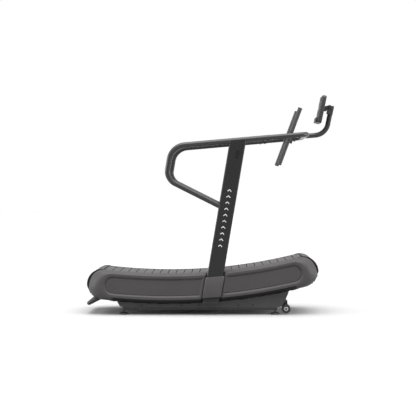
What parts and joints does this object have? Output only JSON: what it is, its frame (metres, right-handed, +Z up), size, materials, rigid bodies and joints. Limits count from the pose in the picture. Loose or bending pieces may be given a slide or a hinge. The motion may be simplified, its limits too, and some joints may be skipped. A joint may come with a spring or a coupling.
{
  "type": "curved manual treadmill",
  "caption": "Motorless treadmill with a concave slat belt, moulded side covers, leaning uprights, looped handrails, push handles and a small tilting console.",
  "frame": {"origin": "on the floor, under the middle of the machine's overall box", "axes": "+X along the running direction to the console end, +Z up, the middle plane is Y = 0 and the runner's right side is -Y"},
  "size_m": [1.8769, 0.8, 1.6542],
  "materials": {
    "frame_dark": "satin black powder coat",
    "frame_charcoal": "satin charcoal powder coat",
    "sleeve_charcoal": "satin charcoal moulding",
    "cover_plastic": "satin charcoal moulding",
    "slat_rubber": "ribbed matt rubber",
    "belt_rubber": "matt",
    "slat_aluminium": "plain cast or machined",
    "bar_black": "black anodised extrusion",
    "bright_steel": "zinc plated",
    "black_steel": "black oxide",
    "black_plastic": "fine texture",
    "grip_rubber": "matt, finely ribbed",
    "wheel_rubber": "matt",
    "screen_glass": "dark glossy display window",
    "button_grey": "satin"
  },
  "bodies": {
    "chassis": {"right_side_plate": "frame_dark", "left_side_plate": "frame_dark", "base_cross_members": "frame_dark", "deck_cross_tubes": "frame_dark", "bearing_rails": "bright_steel", "roller_axles": "bright_steel", "support_rollers": "bright_steel", "slat_bars": "bar_black", "running_slats": "slat_rubber", "return_slats": "slat_rubber", "drive_belts": "belt_rubber", "shaft_bearings": "bright_steel", "belt_tensioners": "bright_steel", "speed_sensor": "black_plastic", "right_rear_cover": "cover_plastic", "right_front_cover": "cover_plastic", "left_rear_cover": "cover_plastic", "left_front_cover": "cover_plastic", "cover_brackets": "frame_dark", "right_upright": "frame_charcoal", "left_upright": "frame_charcoal", "upright_sleeves": "sleeve_charcoal", "upright_brackets": "frame_dark", "upright_plugs": "black_plastic", "right_handrail": "frame_charcoal", "left_handrail": "frame_charcoal", "front_handlebar": "frame_charcoal", "handlebar_screws": "black_steel", "crossbar": "frame_charcoal", "handle_clamps": "frame_dark", "push_handles": "frame_dark", "push_grips": "grip_rubber", "push_caps": "black_plastic", "console_post": "frame_charcoal", "console_fork": "frame_dark", "carry_handle": "frame_dark", "wheel_brackets": "frame_dark", "wheel_bolts": "black_steel", "frame_bolts": "black_steel"},
    "front_drum": {"front_shaft": "bright_steel", "front_pulleys": "slat_aluminium"},
    "rear_drum": {"rear_shaft": "bright_steel", "rear_pulleys": "slat_aluminium"},
    "right_wheel": {"right_tyre": "wheel_rubber", "right_hub": "slat_aluminium"},
    "left_wheel": {"left_tyre": "wheel_rubber", "left_hub": "slat_aluminium"},
    "foot_front_right": {"front_right_foot": "black_plastic"},
    "foot_front_left": {"front_left_foot": "black_plastic"},
    "foot_rear_right": {"rear_right_foot": "black_plastic"},
    "foot_rear_left": {"rear_left_foot": "black_plastic"},
    "console": {"console_housing": "black_plastic", "console_screen": "screen_glass", "console_arm": "frame_dark", "tablet_lip": "black_plastic"},
    "knob": {"tilt_knob": "black_plastic"},
    "button_left": {"left_button": "button_grey"},
    "button_middle": {"middle_button": "button_grey"},
    "button_right": {"right_button": "button_grey"}
  },
  "joints": [
    {"name": "front_shaft_turn", "type": "hinge", "parent": "chassis", "child": "front_drum", "pos_m": [0.68683, 0, 0.31858], "axis": [0, 1, 0], "continuous": true},
    {"name": "rear_shaft_turn", "type": "hinge", "parent": "chassis", "child": "rear_drum", "pos_m": [-0.82434, 0, 0.22311], "axis": [0, 1, 0], "continuous": true},
    {"name": "right_wheel_roll", "type": "hinge", "parent": "chassis", "child": "right_wheel", "pos_m": [0.557, -0.285, 0.043], "axis": [0, 1, 0], "continuous": true},
    {"name": "left_wheel_roll", "type": "hinge", "parent": "chassis", "child": "left_wheel", "pos_m": [0.557, 0.285, 0.043], "axis": [0, 1, 0], "continuous": true},
    {"name": "front_right_foot_travel", "type": "slide", "parent": "chassis", "child": "foot_front_right", "axis": [0, 0, -1], "range_m": [0, 0.012]},
    {"name": "front_left_foot_travel", "type": "slide", "parent": "chassis", "child": "foot_front_left", "axis": [0, 0, -1], "range_m": [0, 0.012]},
    {"name": "rear_right_foot_travel", "type": "slide", "parent": "chassis", "child": "foot_rear_right", "axis": [0, 0, -1], "range_m": [0, 0.012]},
    {"name": "rear_left_foot_travel", "type": "slide", "parent": "chassis", "child": "foot_rear_left", "axis": [0, 0, -1], "range_m": [0, 0.012]},
    {"name": "console_tilt", "type": "hinge", "parent": "chassis", "child": "console", "pos_m": [0.903, 0, 1.572], "axis": [0, 1, 0], "range_deg": [-10, 25]},
    {"name": "tilt_knob_turn", "type": "hinge", "parent": "chassis", "child": "knob", "pos_m": [0.903, -0.028, 1.572], "axis": [0, 1, 0], "range_deg": [0, 270]},
    {"name": "left_button_press", "type": "slide", "parent": "console", "child": "button_left", "axis": [0.9796, 0, -0.2011], "range_m": [0, 0.0012], "stiffness_N_per_m": 500},
    {"name": "middle_button_press", "type": "slide", "parent": "console", "child": "button_middle", "axis": [0.9796, 0, -0.2011], "range_m": [0, 0.0012], "stiffness_N_per_m": 500},
    {"name": "right_button_press", "type": "slide", "parent": "console", "child": "button_right", "axis": [0.9796, 0, -0.2011], "range_m": [0, 0.0012], "stiffness_N_per_m": 500}
  ],
  "couplings": [
    {"joint": "rear_shaft_turn", "follows": "front_shaft_turn", "ratio": 1}
  ]
}
